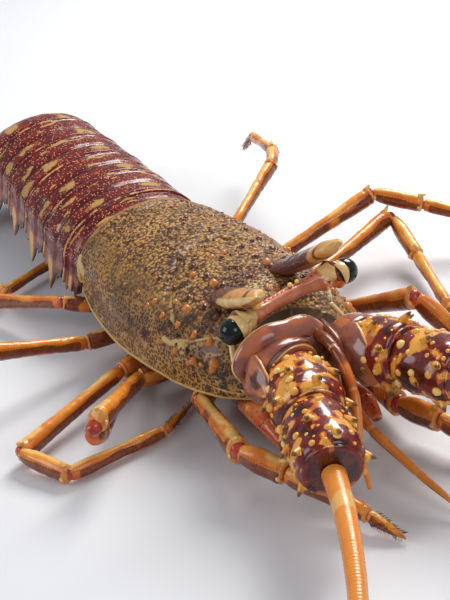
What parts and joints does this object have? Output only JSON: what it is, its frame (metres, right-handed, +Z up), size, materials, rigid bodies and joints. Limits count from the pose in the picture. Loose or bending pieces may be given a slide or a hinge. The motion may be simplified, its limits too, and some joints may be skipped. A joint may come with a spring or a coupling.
{
  "type": "spiny lobster",
  "caption": "Raw whole spiny (rock) lobster lying on its underside, clawless, with horned spiny carapace, ringed abdomen, spread legs and long antennae.",
  "frame": {"origin": "centre of the flat underside of the thorax, which lies on the ground", "axes": "+Z up from the ground, -Y towards the head and antennae, +Y towards the tail fan, +X towards the animal's own left side"},
  "size_m": [0.3974, 0.6125, 0.0756],
  "materials": {
    "shell": "wet granular shell, olive-brown to golden",
    "underside": "wet smooth shell, cream and maroon",
    "abdomen": "wet glossy shell, burgundy with cream flecks and olive patches",
    "leg": "wet glossy shell, yellow-orange and oxblood stripes",
    "feeler": "wet glossy shell, maroon with cream-yellow tubercles",
    "eye": "glossy black-green eye",
    "eye_bar": "wet translucent pink-brown shell with cream cups"
  },
  "bodies": {
    "root": {"abdomen_1": "abdomen", "abdomen_2": "abdomen", "abdomen_3": "abdomen", "abdomen_4": "abdomen", "abdomen_5": "abdomen", "abdomen_6": "abdomen", "antenna_L_1": "feeler", "antenna_L_2": "feeler", "antenna_L_3": "feeler", "antenna_R_1": "feeler", "antenna_R_2": "feeler", "antenna_R_3": "feeler", "antennule_L": "feeler", "antennule_R": "feeler", "carapace": "shell", "endopod_L": "abdomen", "endopod_R": "abdomen", "exopod_L": "abdomen", "exopod_R": "abdomen", "eye_L": "eye", "eye_R": "eye", "eye_bar": "eye_bar", "flagellum_L": "feeler", "flagellum_R": "feeler", "leg_L1_dactyl": "leg", "leg_L1_merus": "leg", "leg_L1_propodus": "leg", "leg_L2_dactyl": "leg", "leg_L2_merus": "leg", "leg_L2_propodus": "leg", "leg_L3_dactyl": "leg", "leg_L3_merus": "leg", "leg_L3_propodus": "leg", "leg_L4_dactyl": "leg", "leg_L4_merus": "leg", "leg_L4_propodus": "leg", "leg_L5_dactyl": "leg", "leg_L5_merus": "leg", "leg_L5_propodus": "leg", "leg_R1_dactyl": "leg", "leg_R1_merus": "leg", "leg_R1_propodus": "leg", "leg_R2_dactyl": "leg", "leg_R2_merus": "leg", "leg_R2_propodus": "leg", "leg_R3_dactyl": "leg", "leg_R3_merus": "leg", "leg_R3_propodus": "leg", "leg_R4_dactyl": "leg", "leg_R4_merus": "leg", "leg_R4_propodus": "leg", "leg_R5_dactyl": "leg", "leg_R5_merus": "leg", "leg_R5_propodus": "leg", "maxilliped_L": "leg", "maxilliped_R": "leg", "telson": "abdomen", "thorax": "underside"}
  },
  "joints": []
}
